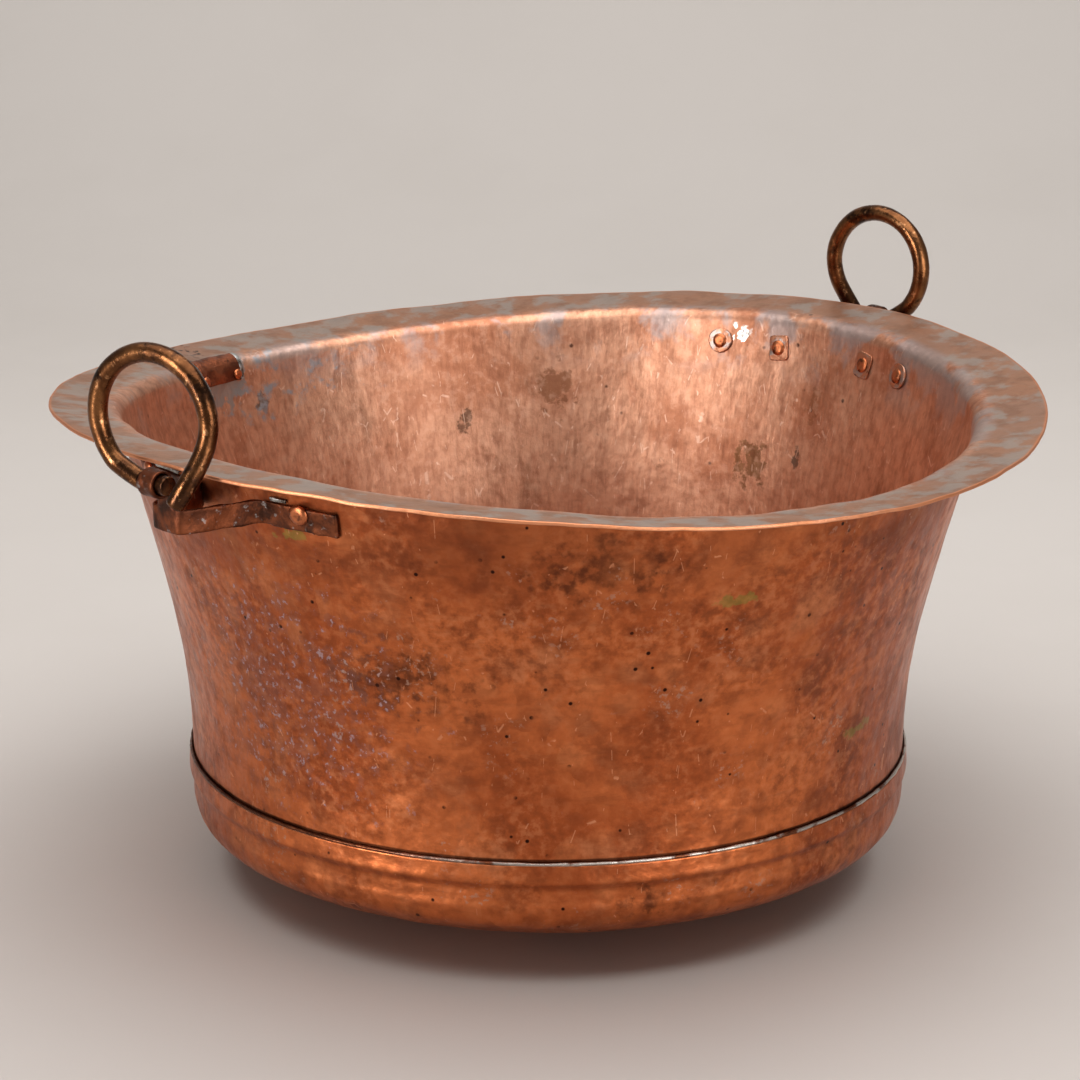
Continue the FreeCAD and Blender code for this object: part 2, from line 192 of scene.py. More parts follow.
class Finish:
    """A metal finish that is built up layer by layer."""

    def __init__(self, name, tone, roughness=0.4, metallic=1.0):
        self.material = bpy.data.materials.new(name)
        self.material.use_nodes = True
        self.tree = self.material.node_tree
        self.shader = self.tree.nodes["Principled BSDF"]
        self.shader.inputs["Metallic"].default_value = metallic
        self.shader.inputs["Roughness"].default_value = roughness
        self.place = self.tree.nodes.new("ShaderNodeTexCoord").outputs["Object"]
        self.colour = tone
        self.rough = None
        self.normal = None

    def node(self, kind, **inputs):
        made = self.tree.nodes.new(kind)
        for key, value in inputs.items():
            self.feed(made.inputs[key.replace("_", " ")], value)
        return made

    def feed(self, socket, value):
        if isinstance(value, bpy.types.NodeSocket):
            self.tree.links.new(value, socket)
        else:
            socket.default_value = value

    def stretched(self, scale, turn=(0.0, 0.0, 0.0)):
        """Object coordinates, stretched so that a pattern runs in streaks."""
        mapping = self.node("ShaderNodeMapping", Vector=self.place)
        mapping.inputs["Scale"].default_value = scale
        mapping.inputs["Rotation"].default_value = turn
        return mapping.outputs["Vector"]

    def noise(self, scale, detail=4.0, vector=None, distortion=0.0):
        made = self.node("ShaderNodeTexNoise", Vector=vector or self.place, Scale=scale,
                         Detail=detail, Roughness=0.6, Distortion=distortion)
        return made.outputs["Fac"]

    def cells(self, scale, vector=None, feature="F1"):
        made = self.node("ShaderNodeTexVoronoi", Vector=vector or self.place)
        made.feature = feature
        made.inputs["Scale"].default_value = scale
        return made.outputs["Distance"]

    def span(self, value, low, high, to_low=0.0, to_high=1.0):
        made = self.node("ShaderNodeMapRange", Value=value)
        for name, number in (("From Min", low), ("From Max", high),
                             ("To Min", to_low), ("To Max", to_high)):
            made.inputs[name].default_value = number
        made.interpolation_type = "SMOOTHSTEP"
        return made.outputs["Result"]

    def maths(self, operation, first, second=0.0):
        made = self.tree.nodes.new("ShaderNodeMath")
        made.operation = operation
        self.feed(made.inputs[0], first)
        self.feed(made.inputs[1], second)
        return made.outputs["Value"]

    def times(self, first, second):
        return self.maths("MULTIPLY", first, second)

    def coat(self, mask, tone, mode="MIX"):
        """Lays a tone over the colour so far, where the mask is white."""
        made = self.tree.nodes.new("ShaderNodeMix")
        made.data_type = "RGBA"
        made.blend_type = mode
        self.feed(made.inputs["Factor"], mask)
        self.feed(made.inputs["A"], self.colour)
        self.feed(made.inputs["B"], tone)
        self.colour = made.outputs["Result"]

    def speckle(self, tone, scale, detail, low, high, amount=1.0, distortion=0.0):
        """Lays a tone where a noise rises from one level to another."""
        patches = self.span(self.noise(scale, detail, distortion=distortion), low, high)
        self.coat(self.times(patches, amount), tone)

    def roughen(self, mask, value):
        """Moves the roughness towards a value where the mask is white."""
        if self.rough is None:
            self.rough = self.shader.inputs["Roughness"].default_value
        made = self.tree.nodes.new("ShaderNodeMix")
        made.data_type = "FLOAT"
        self.feed(made.inputs["Factor"], mask)
        self.feed(made.inputs["A"], self.rough)
        self.feed(made.inputs["B"], value)
        self.rough = made.outputs["Result"]

    def dent(self, height, depth, strength=1.0):
        """A bump layer: depth in metres for a height of one."""
        made = self.node("ShaderNodeBump", Height=height)
        made.inputs["Distance"].default_value = depth
        made.inputs["Strength"].default_value = strength
        if self.normal is not None:
            self.tree.links.new(self.normal, made.inputs["Normal"])
        self.normal = made.outputs["Normal"]

    def height(self):
        """How high a point lies above the floor."""
        return self.node("ShaderNodeSeparateXYZ", Vector=self.place).outputs["Z"]

    def radius(self):
        """How far a point lies from the kettle's upright axis."""
        flat = self.node("ShaderNodeVectorMath", Vector=self.place)
        flat.operation = "MULTIPLY"
        flat.inputs[1].default_value = (1.0, 1.0, 0.0)
        length = self.tree.nodes.new("ShaderNodeVectorMath")
        length.operation = "LENGTH"
        self.tree.links.new(flat.outputs["Vector"], length.inputs[0])
        return length.outputs["Value"]

    def near(self, spot, reach, soft=0.5):
        """White within a distance of a spot."""
        gap = self.tree.nodes.new("ShaderNodeVectorMath")
        gap.operation = "DISTANCE"
        self.tree.links.new(self.place, gap.inputs[0])
        gap.inputs[1].default_value = spot
        return self.span(gap.outputs["Value"], reach, reach * soft)

    def vector_maths(self, operation, first, second):
        made = self.tree.nodes.new("ShaderNodeVectorMath")
        made.operation = operation
        self.feed(made.inputs[0], first)
        self.feed(made.inputs[1], second)
        return made

    def warped(self, amount, scale):
        """Object coordinates pushed about a little, so that cells lose their straight edges."""
        push = self.node("ShaderNodeTexNoise", Vector=self.place, Scale=scale).outputs["Color"]
        moved = self.vector_maths("MULTIPLY", push, (amount, amount, amount)).outputs["Vector"]
        return self.vector_maths("ADD", self.place, moved).outputs["Vector"]

    def hammer_marks(self, scale, share):
        """Soft round marks in a share of the cells, as a planishing hammer leaves them."""
        made = self.node("ShaderNodeTexVoronoi", Vector=self.warped(0.006, 90.0), Scale=scale)
        pick = self.node("ShaderNodeSeparateColor", Color=made.outputs["Color"]).outputs["Red"]
        chosen = self.span(pick, 1.0 - share, 1.15 - share)
        return self.times(chosen, self.span(made.outputs["Distance"], 0.62, 0.25))

    def scratches(self, scale, turn, amount):
        """Thin broken lines that run mostly one way."""
        lines = self.cells(scale, self.stretched((1.0, 1.0, 0.22), turn), "DISTANCE_TO_EDGE")
        thin = self.span(lines, 0.016, 0.004)
        return self.times(thin, self.span(self.noise(scale * 2.2, 2.0), 0.60 - amount, 0.62))

    def blot(self, spot, wide, tall, ragged=0.5, soft=0.55):
        """White in an upright oval round a spot, with a ragged edge."""
        offset = self.vector_maths("SUBTRACT", self.place, spot).outputs["Vector"]
        scaled = self.vector_maths("MULTIPLY", offset, (1 / wide, 1 / wide, 1 / tall))
        reach = self.tree.nodes.new("ShaderNodeVectorMath")
        reach.operation = "LENGTH"
        self.tree.links.new(scaled.outputs["Vector"], reach.inputs[0])
        rough_edge = self.span(self.noise(110.0, 4.0), 0.3, 0.7, -ragged, ragged)
        return self.span(self.maths("ADD", reach.outputs["Value"], rough_edge), 1.0, soft)

    def band(self, value, low, high, soft):
        """White where a value lies between two limits."""
        return self.times(self.span(value, low - soft, low), self.span(value, high + soft, high))

    def toward(self, direction):
        """How far a point lies in a direction."""
        return self.vector_maths("DOT_PRODUCT", self.place, direction).outputs["Value"]

    def done(self):
        """Joins the layers to the shader and gives back the material."""
        self.feed(self.shader.inputs["Base Color"], self.colour)
        if self.rough is not None:
            self.feed(self.shader.inputs["Roughness"], self.rough)
        if self.normal is not None:
            self.feed(self.shader.inputs["Normal"], self.normal)
        return self.material

# %% [markdown]
# ### Copper outside
# The outside is bare copper, gone orange-brown. It could be painted by hand on an
# image, but noise laid over noise needs no image and never repeats. The large clouds
# come first, then the hammer's marks, then a fine grain and short upright strokes.


# %% Beaten tones of the outside
SEAM_Z = 0.0795


def beaten_tones(f):
    """Clouds, hammer marks and grain. Gives back the mottle that later layers follow."""
    f.speckle(srgb(166, 84, 46), 7.0, 6.0, 0.42, 0.60, distortion=0.25)
    f.coat(f.times(f.hammer_marks(78.0, 0.45), 0.38), srgb(126, 62, 36))
    f.coat(f.times(f.hammer_marks(56.0, 0.30), 0.35), srgb(214, 132, 84))
    mottle = f.noise(34.0, 7.0)
    f.coat(f.times(f.span(mottle, 0.47, 0.66), 0.60), srgb(120, 60, 36))
    f.speckle(srgb(218, 138, 92), 17.0, 7.0, 0.56, 0.70, amount=0.45)
    grain = f.noise(170.0, 8.0)
    worked = f.span(f.noise(15.0, 5.0), 0.36, 0.64, 0.12, 0.55)
    f.coat(f.times(f.span(grain, 0.48, 0.66), worked), srgb(112, 58, 36))
    f.coat(f.times(f.span(grain, 0.52, 0.36), f.times(worked, 0.6)), srgb(224, 146, 100))
    strokes = f.noise(1.0, 6.0, f.stretched((40.0, 40.0, 150.0)))
    f.coat(f.times(f.span(strokes, 0.50, 0.66), 0.30), srgb(126, 66, 40))
    return mottle


def oxide_under_rim(f):
    """A dark cloud round the top of the wall, where hands and smoke do not rub it."""
    top = f.span(f.height(), 0.215, 0.285)
    dark = f.times(top, f.span(f.noise(13.0, 7.0, distortion=0.4), 0.36, 0.62))
    f.coat(f.times(dark, 0.55), srgb(92, 46, 30))
    return dark


# %% [markdown]
# Marks that stand in one place are blots: an oval round a spot with a ragged edge. One
# low corner was heated, so it is greyer and flecked. Small pits, a little green and
# some scratches tell the age, and grime lies along the seam.


# %% Stains of the outside
DARK_STAINS = (((0.03, -0.25, 0.255), 0.045, 0.022),
               ((-0.08, -0.218, 0.185), 0.050, 0.028),
               ((0.06, -0.2135, 0.054), 0.020, 0.013))
GREEN_SPOTS = ((-0.139, -0.213, 0.266), (0.101, -0.224, 0.233), (0.180, -0.134, 0.1275))


def outside_stains(f, mottle):
    for spot, wide, tall in DARK_STAINS:
        place = seen_from_camera(*spot)
        shade = f.times(f.blot(place, wide, tall, 0.7, 0.0), f.span(mottle, 0.36, 0.56))
        f.coat(f.times(shade, 0.75), srgb(80, 42, 28))
    heated = f.blot(seen_from_camera(-0.150, -0.175, 0.165), 0.070, 0.060, 0.9, 0.2)
    f.coat(f.times(heated, 0.35), srgb(140, 92, 80))
    flecks = f.span(f.noise(300.0, 3.0), 0.56, 0.64)
    f.coat(f.times(f.times(flecks, heated), 0.85), srgb(176, 150, 156))
    strays = f.times(flecks, f.span(f.noise(24.0, 3.0), 0.56, 0.64))
    f.coat(f.times(strays, 0.55), srgb(178, 140, 120))
    pits = f.times(f.span(f.cells(85.0), 0.13, 0.07), f.span(f.noise(26.0, 2.0), 0.50, 0.58))
    f.coat(pits, srgb(46, 24, 18))
    for spot in GREEN_SPOTS:
        green = f.blot(seen_from_camera(*spot), 0.011, 0.004, 0.8)
        f.coat(f.times(green, 0.5), srgb(132, 128, 62))
    f.coat(f.times(f.scratches(60.0, (0.5, 0.3, 0.2), 0.0), 0.5), srgb(226, 156, 116))
    grime = f.times(f.band(f.height(), SEAM_Z, SEAM_Z + 0.0012, 0.0010), 0.8)
    f.coat(grime, srgb(44, 24, 18))


# %% Copper outside
def copper_outside():
    f = Finish("copper_outside", srgb(196, 108, 62), 0.33)
    mottle = beaten_tones(f)
    dark = oxide_under_rim(f)
    outside_stains(f, mottle)
    f.roughen(f.span(mottle, 0.40, 0.66), 0.46)
    f.roughen(f.times(dark, 0.8), 0.50)
    f.dent(f.noise(38.0, 3.0), 0.0013)
    f.dent(f.cells(88.0, f.warped(0.006, 90.0), "SMOOTH_F1"), 0.0008)
    f.dent(f.noise(420.0, 5.0), 0.00012)
    return f.done()


# %% [markdown]
# ### Copper inside
# The inside is paler and duller than the outside, because it was scoured. The scouring
# runs up and down, so its noise is stretched upright. Stains stand here and there.


# %% Scoured tones and stains of the inside
INSIDE_STAINS = (((0.139, 0.193, 0.2000), 0.011, 0.017, srgb(112, 76, 46)),
                 ((0.168, 0.172, 0.2102), 0.005, 0.007, srgb(66, 62, 56)),
                 ((0.178, 0.172, 0.2380), 0.005, 0.026, srgb(150, 98, 70)),
                 ((0.078, 0.228, 0.1900), 0.006, 0.016, srgb(104, 70, 50)),
                 ((-0.058, 0.236, 0.2215), 0.005, 0.009, srgb(80, 58, 46)),
                 ((-0.191, 0.163, 0.2508), 0.007, 0.007, srgb(66, 52, 44)),
                 ((0.005, 0.248, 0.2400), 0.013, 0.018, srgb(136, 88, 62)))


def scoured_tones(f):
    """Clouds, upright scouring and smears. Gives back the scouring, for its bump."""
    f.coat(f.times(f.hammer_marks(48.0, 0.4), 0.22), srgb(216, 158, 126))
    brushed = f.noise(1.0, 5.0, f.stretched((260.0, 260.0, 14.0)))
    f.coat(f.times(f.span(brushed, 0.42, 0.66), 0.38), srgb(146, 92, 70))
    smears = f.noise(1.0, 5.0, f.stretched((42.0, 42.0, 11.0)))
    f.coat(f.times(f.span(smears, 0.56, 0.72), 0.5), srgb(118, 78, 58))
    return brushed


def inside_stains(f):
    spots = f.times(f.span(f.cells(60.0), 0.12, 0.05), f.span(f.noise(22.0, 2.0), 0.50, 0.58))
    f.coat(spots, srgb(62, 36, 30))
    for spot, wide, tall, tone in INSIDE_STAINS:
        f.coat(f.times(f.blot(seen_from_camera(*spot), wide, tall, 0.7), 0.75), tone)
    for turn in ((0.3, 0.5, 0.0), (-0.6, 0.2, 0.4)):
        f.coat(f.times(f.scratches(46.0, turn, 0.03), 0.55), srgb(236, 196, 172))
    grain = f.noise(150.0, 8.0)
    f.coat(f.times(f.span(grain, 0.50, 0.66), 0.30), srgb(140, 90, 68))
    f.coat(f.times(f.span(grain, 0.50, 0.36), 0.25), srgb(228, 180, 152))


# %% [markdown]
# The inside was once tinned. The tin is worn through nearly everywhere and stays as
# grey patches near the rim, round the repair and on the turned-out flange.


# %% Worn tin at the rim
def worn_tin(f):
    """Grey tin near the rim, and a painted highlight along the rim's outer edge. Gives back the
    flange's mask and the bright splash.
    """
    tin_left = f.blot(seen_from_camera(-0.185, 0.170, 0.262), 0.075, 0.030, 0.5, 0.2)
    f.coat(f.times(tin_left, f.span(f.noise(60.0, 6.0), 0.50, 0.62)), srgb(158, 154, 156))
    border = f.blot(seen_from_camera(-0.2170, 0.1370, 0.2745), 0.031, 0.021, 0.35, 0.8)
    f.coat(f.times(border, 0.8), srgb(150, 148, 146))
    rim = f.span(f.height(), 0.250, 0.290)
    tin = f.times(rim, f.span(f.noise(26.0, 7.0, distortion=0.3), 0.47, 0.58))
    f.coat(f.times(tin, 0.60), srgb(164, 160, 160))
    flange = f.span(f.radius(), 0.264, 0.272)
    f.coat(f.times(flange, 0.85), srgb(172, 128, 102))
    f.coat(f.times(f.times(flange, f.span(f.noise(60.0, 5.0), 0.45, 0.65)), 0.4), srgb(128, 90, 68))
    worn = f.times(f.span(f.radius(), 0.260, 0.268), f.span(f.noise(48.0, 8.0), 0.46, 0.60))
    f.coat(f.times(worn, 0.60), srgb(172, 168, 162))
    tear = f.blot(seen_from_camera(-0.246, 0.148, 0.298), 0.017, 0.012, 0.9)
    f.coat(f.times(tear, f.span(f.noise(150.0, 3.0), 0.48, 0.54)), srgb(30, 24, 22))
    splash = f.blot(seen_from_camera(0.131, 0.223, 0.2846), 0.008, 0.006, 0.9)
    f.coat(f.times(splash, 0.85), srgb(226, 220, 214))
    # A painted highlight: a brighter copper line round the flange's outer edge, where the edge
    # catches the light.
    rim_edge_highlight = f.span(f.radius(), 0.2975, 0.2995)
    f.coat(f.times(rim_edge_highlight, 0.85), srgb(214, 140, 98))
    return flange, splash


# %% Copper inside
def copper_inside():
    f = Finish("copper_inside", srgb(208, 154, 124), 0.45)
    clouds = f.noise(11.0, 6.0, distortion=0.4)
    f.coat(f.span(clouds, 0.44, 0.64), srgb(182, 122, 92))
    brushed = scoured_tones(f)
    inside_stains(f)
    flange, splash = worn_tin(f)
    f.roughen(f.span(clouds, 0.35, 0.7), 0.50)
    f.roughen(f.times(flange, 0.8), 0.48)
    f.roughen(f.times(splash, 0.9), 0.20)
    f.dent(f.noise(30.0, 3.0), 0.0015)
    f.dent(brushed, 0.00022)
    f.dent(f.noise(420.0, 5.0), 0.00012)
    return f.done()


# %% [markdown]
# ### Bronze of the rings
# The rings are browner and shinier than the sheet, since hands polish them. They are
# darkest low down, near the rim, where nobody's hand reaches.


# %% Bronze
def bronze():
    f = Finish("bronze", srgb(126, 82, 50), 0.26)
    f.speckle(srgb(88, 54, 32), 48.0, 6.0, 0.40, 0.60, distortion=0.3)
    f.speckle(srgb(40, 26, 20), 70.0, 6.0, 0.54, 0.64, amount=0.85)
    low = f.times(f.span(f.height(), 0.325, 0.300), f.span(f.noise(110.0, 5.0), 0.40, 0.60))
    f.coat(f.times(low, 0.75), srgb(48, 30, 24))
    f.speckle(srgb(206, 150, 106), 190.0, 4.0, 0.60, 0.68, amount=0.5)
    f.roughen(f.span(f.noise(90.0, 4.0), 0.4, 0.7), 0.38)
    f.dent(f.noise(120.0, 4.0), 0.0005)
    return f.done()


# %% [markdown]
# ### Straps, rivets, washers and the patch
# These are small, so each needs only two or three tones of speckle and one bump. The
# straps are painted nearly black: the dark tone is painted shade, for the shadow that
# the flange casts over them. The washers are tinned like the inside, and the rivets'
# heads are rubbed bright.


# %% Finishes of the ironmongery
def dark_copper():
    # The straps' dark tone is painted shade, for the shadow that the flange casts over them.
    f = Finish("dark_copper", srgb(120, 66, 42), 0.48)
    f.speckle(srgb(82, 46, 32), 60.0, 6.0, 0.40, 0.60, distortion=0.5)
    f.speckle(srgb(52, 36, 30), 40.0, 6.0, 0.52, 0.62, amount=0.8)
    f.speckle(srgb(150, 142, 138), 210.0, 4.0, 0.60, 0.68, amount=0.6)
    f.dent(f.noise(180.0, 5.0), 0.0006)
    return f.done()


def rivet_copper():
    f = Finish("rivet_copper", srgb(184, 108, 70), 0.36)
    f.speckle(srgb(78, 46, 34), 150.0, 5.0, 0.50, 0.62, amount=0.8)
    f.dent(f.noise(260.0, 4.0), 0.0004)
    return f.done()


def tinned_copper():
    f = Finish("tinned_copper", srgb(186, 128, 98), 0.38)
    f.speckle(srgb(158, 152, 148), 110.0, 5.0, 0.48, 0.60, amount=0.8)
    f.speckle(srgb(84, 56, 44), 170.0, 4.0, 0.58, 0.66, amount=0.7)
    f.dent(f.noise(220.0, 4.0), 0.0005)
    return f.done()


def patch_copper():
    f = Finish("patch_copper", srgb(150, 86, 58), 0.42)
    f.speckle(srgb(108, 60, 42), 70.0, 6.0, 0.44, 0.58)
    f.speckle(srgb(60, 40, 32), 130.0, 5.0, 0.58, 0.66, amount=0.8)
    f.dent(f.noise(90.0, 5.0), 0.0014)
    return f.done()


# %% [markdown]
# ### Solder
# Fresh solder is grey and lumpy. On the seam it is bright only along one side of the
# kettle, and has gone as brown as the copper on the other.


# %% Solder
def grey_solder():
    f = Finish("grey_solder", srgb(172, 170, 166), 0.42)
    f.speckle(srgb(98, 88, 80), 160.0, 5.0, 0.48, 0.62)
    f.dent(f.noise(300.0, 4.0), 0.0005)
    return f.done()


def seam_solder():
    f = Finish("seam_solder", srgb(112, 66, 44), 0.34)
    f.speckle(srgb(60, 38, 30), 220.0, 3.0, 0.5, 0.6, amount=0.6)
    bright_side = f.span(f.toward(seen_from_camera(1.0, 0.0, 0.0)), -0.10, 0.02)
    lumps = f.times(bright_side, f.span(f.noise(55.0, 5.0), 0.40, 0.52))
    f.coat(f.times(lumps, 0.9), srgb(196, 190, 182))
    f.dent(f.noise(300.0, 4.0), 0.0004)
    return f.done()


# %% [markdown]
# ### Studio paper
# The sweep's paper is a warm light grey with a few faint scuffs. It is the only finish
# here that is no metal.


# %% Studio paper
def studio_paper():
    f = Finish("studio_paper", srgb(198, 191, 185), 0.80, metallic=0.0)
    f.speckle(srgb(178, 170, 162), 2.5, 6.0, 0.4, 0.7, amount=0.12)
    f.coat(f.times(f.scratches(3.5, (1.4, 0.2, 0.3), -0.02), 0.10), srgb(150, 140, 132))
    return f.done()


# %% Make the finishes
finishes = {make.__name__: make() for make in
            (copper_outside, copper_inside, bronze, dark_copper, rivet_copper, tinned_copper,
             patch_copper, grey_solder, seam_solder)}
sweep.data.materials.append(studio_paper())
print("finishes:", ", ".join(finishes))

# %% [markdown]
# ## The side wall
# The coppersmith raised this sheet by hand over a stake, so it is round only roughly:
# the rim rises at the handles and dips between them, and the skin keeps the marks of
# the hammer. A half outline is spun about the upright axis, the vertices are then
# moved as the hammer moved the sheet, and Solidify gives the sheet its thickness.

# %% The wall's outline
SHEET = 2.0 * MM
EDGE_ROUND = 0.5 * MM
RIM_RADIUS = 0.300
RIM_WAVE = 0.010
WAVE_START = 0.078
RIM_BEND = 8.0 * MM
FLANGE_SLOPE = math.radians(7.0)
TURN_STEPS = 7
FLANGE_STEPS = 10
WALL_OUTLINE = [(0.2214, 0.068), (0.2216, 0.088), (0.2229, 0.118), (0.2266, 0.148),
                (0.2323, 0.178), (0.2394, 0.208), (0.2473, 0.238), (0.2549, 0.266),
                (0.2585, 0.285)]


def rounded(points, count):
    """A smooth line through the points, as a draughtsman's spline runs."""
    padded = [points[0] * 2 - points[1]] + points + [points[-1] * 2 - points[-2]]
    line = []
    for before, start, end, after in zip(padded, padded[1:], padded[2:], padded[3:]):
        for step in range(count):
            t = step / count
            line.append(0.5 * (start * 2 + (end - before) * t
                               + (before * 2 - start * 5 + end * 4 - after) * t ** 2
                               + (start * 3 - before - end * 3 + after) * t ** 3))
    return line + [points[-1]]


def wall_line():
    """The wall, the bend over the stake and the straight flange, one after the other."""
    line = rounded([Vector((r, 0.0, z)) for r, z in WALL_OUTLINE], 6)
    lean = math.atan2(line[-1].x - line[-2].x, line[-1].z - line[-2].z)
    middle = line[-1] + Vector((math.cos(lean), 0.0, -math.sin(lean))) * RIM_BEND
    turn = math.pi / 2 - FLANGE_SLOPE - lean
    for step in range(1, TURN_STEPS + 1):
        at = lean + turn * step / TURN_STEPS
        line.append(middle + Vector((-math.cos(at), 0.0, math.sin(at))) * RIM_BEND)
    edge = line[-1]
    reach = RIM_RADIUS - edge.x
    for step in range(1, FLANGE_STEPS + 1):
        out = reach * step / FLANGE_STEPS
        line.append(edge + Vector((out, 0.0, out * math.tan(FLANGE_SLOPE))))
    return line


outline = wall_line()
RIM_TOP = outline[-1].z
print("outline of", len(outline), "points, rim at", round(RIM_TOP, 4))

# %% The hammer's work
AROUND = 400
DENT = 0.6 * MM
BEND_HEIGHT = 0.2885
BEND_REACH = 6.0 * MM
BEND_DENT = 1.3 * MM
FLANGE_RIPPLE = 1.2 * MM


def wave(height, turn):
    """How far the sheet is lifted: up at the handles and down between them."""
    share = max(0.0, (height - WAVE_START) / (RIM_TOP - WAVE_START))
    return RIM_WAVE * share ** 1.2 * math.cos(2 * turn)


HOLLOWS_PER_METRE = 14.0
DENTS_PER_METRE = 34.0
FLATS_PER_METRE = 62.0


def hammered(point, depth):
    """Dents in metres: broad hollows and the smaller flats of the planishing hammer."""
    hollows = noise.noise(point * HOLLOWS_PER_METRE)
    dents = noise.noise(point * DENTS_PER_METRE + Vector((7, 3, 1)))
    near, _ = noise.voronoi(point * FLATS_PER_METRE)
    broad = hollows * 0.9 + dents * 0.5
    return depth * (broad + 0.55 * (near[0] - 0.35))


def spun_skin(points, steps=AROUND):
    """Spins a half outline all the way round, facing outwards."""
    bm = bmesh.new()
    verts, edges = chain(bm, points)
    bmesh.ops.spin(bm, geom=verts + edges, cent=(0, 0, 0), axis=(0, 0, 1), angle=2 * math.pi,
                   steps=steps, use_merge=True, use_duplicate=False, dvec=(0, 0, 0))
    bmesh.ops.remove_doubles(bm, verts=bm.verts, dist=1e-6)
    bmesh.ops.recalc_face_normals(bm, faces=bm.faces)
    bm.faces.ensure_lookup_table()
    face = min(bm.faces, key=lambda f: abs(f.calc_center_median().z - 0.15))
    if face.normal.dot(face.calc_center_median() * Vector((1, 1, 0))) < 0:
        bmesh.ops.reverse_faces(bm, faces=bm.faces)
    return bm


def fade(value, low, high):
    """Rises from 0 to 1 between two values."""
    return min(1.0, max(0.0, (value - low) / (high - low)))


TRUE_FOOT = (0.074, 0.104)
FLANGE_GROWS = (0.262, 0.292)
HANDLE_REACH = 0.05
HANDLE_FOOT = 0.25
HANDLE_CALM = 0.6


def work_the_sheet(bm):
    """Hammer dents, the rim's wave and ripples round the bend, calmer beside the handles."""
    bm.normal_update()
    moves = []
    for vert in bm.verts:
        turn = math.atan2(vert.co.y, vert.co.x)
        height = vert.co.z
        share = fade(height, *TRUE_FOOT)
        flange = fade(vert.co.xy.length, *FLANGE_GROWS)
        aside = math.sin(turn) * 0.26 / HANDLE_REACH
        beside_handle = math.exp(-aside ** 2) * (height > HANDLE_FOOT)
        calm = 1.0 - HANDLE_CALM * beside_handle
        dent = hammered(vert.co, DENT * share * calm * (1 + 0.9 * flange))
        bend = math.exp(-((height - BEND_HEIGHT) / BEND_REACH) ** 2) * (1.0 - flange) * calm
        dent += BEND_DENT * bend * noise.noise(vert.co * 30.0 + Vector((4, 4, 8)))
        ripple = flange * FLANGE_RIPPLE * noise.noise(vert.co * 22.0 + Vector((1, 9, 4)))
        moves.append(vert.normal * dent + Vector((0, 0, wave(height, turn) + ripple)))
    for vert, move in zip(bm.verts, moves):
        vert.co += move


def add_thickness(piece, thickness, bevel):
    """Gives a skin its thickness inwards, with the second finish on its inside and edges."""
    sheet = piece.modifiers.new("sheet", "SOLIDIFY")
    sheet.thickness = thickness
    sheet.offset = -1.0
    sheet.material_offset = 1
    sheet.material_offset_rim = 1
    edge = piece.modifiers.new("edge", "BEVEL")
    edge.width = bevel
    edge.segments = 2
    edge.limit_method = "ANGLE"
    edge.angle_limit = math.radians(50)


def claim(piece, body, slot, *nodes):
    """Says which body carries a piece and whose place it takes; the slot argument is not used."""
    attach(piece, body)
    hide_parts(*nodes)
    print(piece.name, "-", len(piece.data.polygons), "faces")


# %% Side wall
bm = spun_skin(outline)
work_the_sheet(bm)
side_wall = link_mesh("beaten_side_wall", bm)
side_wall.data.materials.append(finishes["copper_outside"])
side_wall.data.materials.append(finishes["copper_inside"])
add_thickness(side_wall, SHEET, EDGE_ROUND)
claim(side_wall, "vessel", "hammered_copper", "side_wall")

# %% [markdown]
# ## The bottom pan
# The pan is a separate bowl. Its collar fits round the wall's lower edge, then steps
# in under it, and the knuckle rolls into a shallow dish that stands on its middle.

# %% Bottom pan
PAN_OUTLINE = [(0.22375, 0.0780), (0.2240, 0.0725), (0.22425, 0.0675), (0.2232, 0.0650),
               (0.2223, 0.0625), (0.2220, 0.0560), (0.2219, 0.0500), (0.2189, 0.0405),
               (0.2106, 0.0330), (0.1960, 0.0270), (0.1650, 0.0186), (0.1280, 0.0096),
               (0.1000, 0.0036), (0.0780, 0.0008), (0.0500, 0.0000), (0.0200, 0.0000)]


FOOT_TOP = 0.004
COLLAR_FOOT = 0.061


def work_the_pan(bm):
    """The pan is dented too, but its collar and its foot stay nearly true."""
    bm.normal_update()
    moves = []
    for vert in bm.verts:
        calm = 1.0 if FOOT_TOP < vert.co.z < COLLAR_FOOT else 0.25
        moves.append(vert.normal * hammered(vert.co, DENT * calm))
    for vert, move in zip(bm.verts, moves):
        vert.co += move
        vert.co.z = max(vert.co.z, 0.0)


pan_line = rounded([Vector((r, 0.0, z)) for r, z in PAN_OUTLINE], 5)
bm = spun_skin(pan_line, 360)
hub = [e for e in bm.edges if e.is_boundary and e.verts[0].co.xy.length < 0.03]
bmesh.ops.holes_fill(bm, edges=hub, sides=0)
hub_faces = [f for f in bm.faces if len(f.verts) > 4]
bmesh.ops.poke(bm, faces=hub_faces)
bmesh.ops.recalc_face_normals(bm, faces=bm.faces)
work_the_pan(bm)
pan = link_mesh("beaten_bottom_pan", bm)
pan.data.materials.append(finishes["copper_outside"])
pan.data.materials.append(finishes["copper_inside"])
add_thickness(pan, SHEET, EDGE_ROUND)
claim(pan, "vessel", "hammered_copper", "bottom_pan")

# %% [markdown]
# ## The seam's solder
# Solder was run round the collar's upper edge and stands there as a thin lumpy bead. A
# small circle is spun about the kettle's axis, and its skin is then pushed in and out.


# %% The seam's solder bead
BEAD_RADIUS = 1.15 * MM
BEAD_PLACE = (0.2229, 0.0, 0.0788)


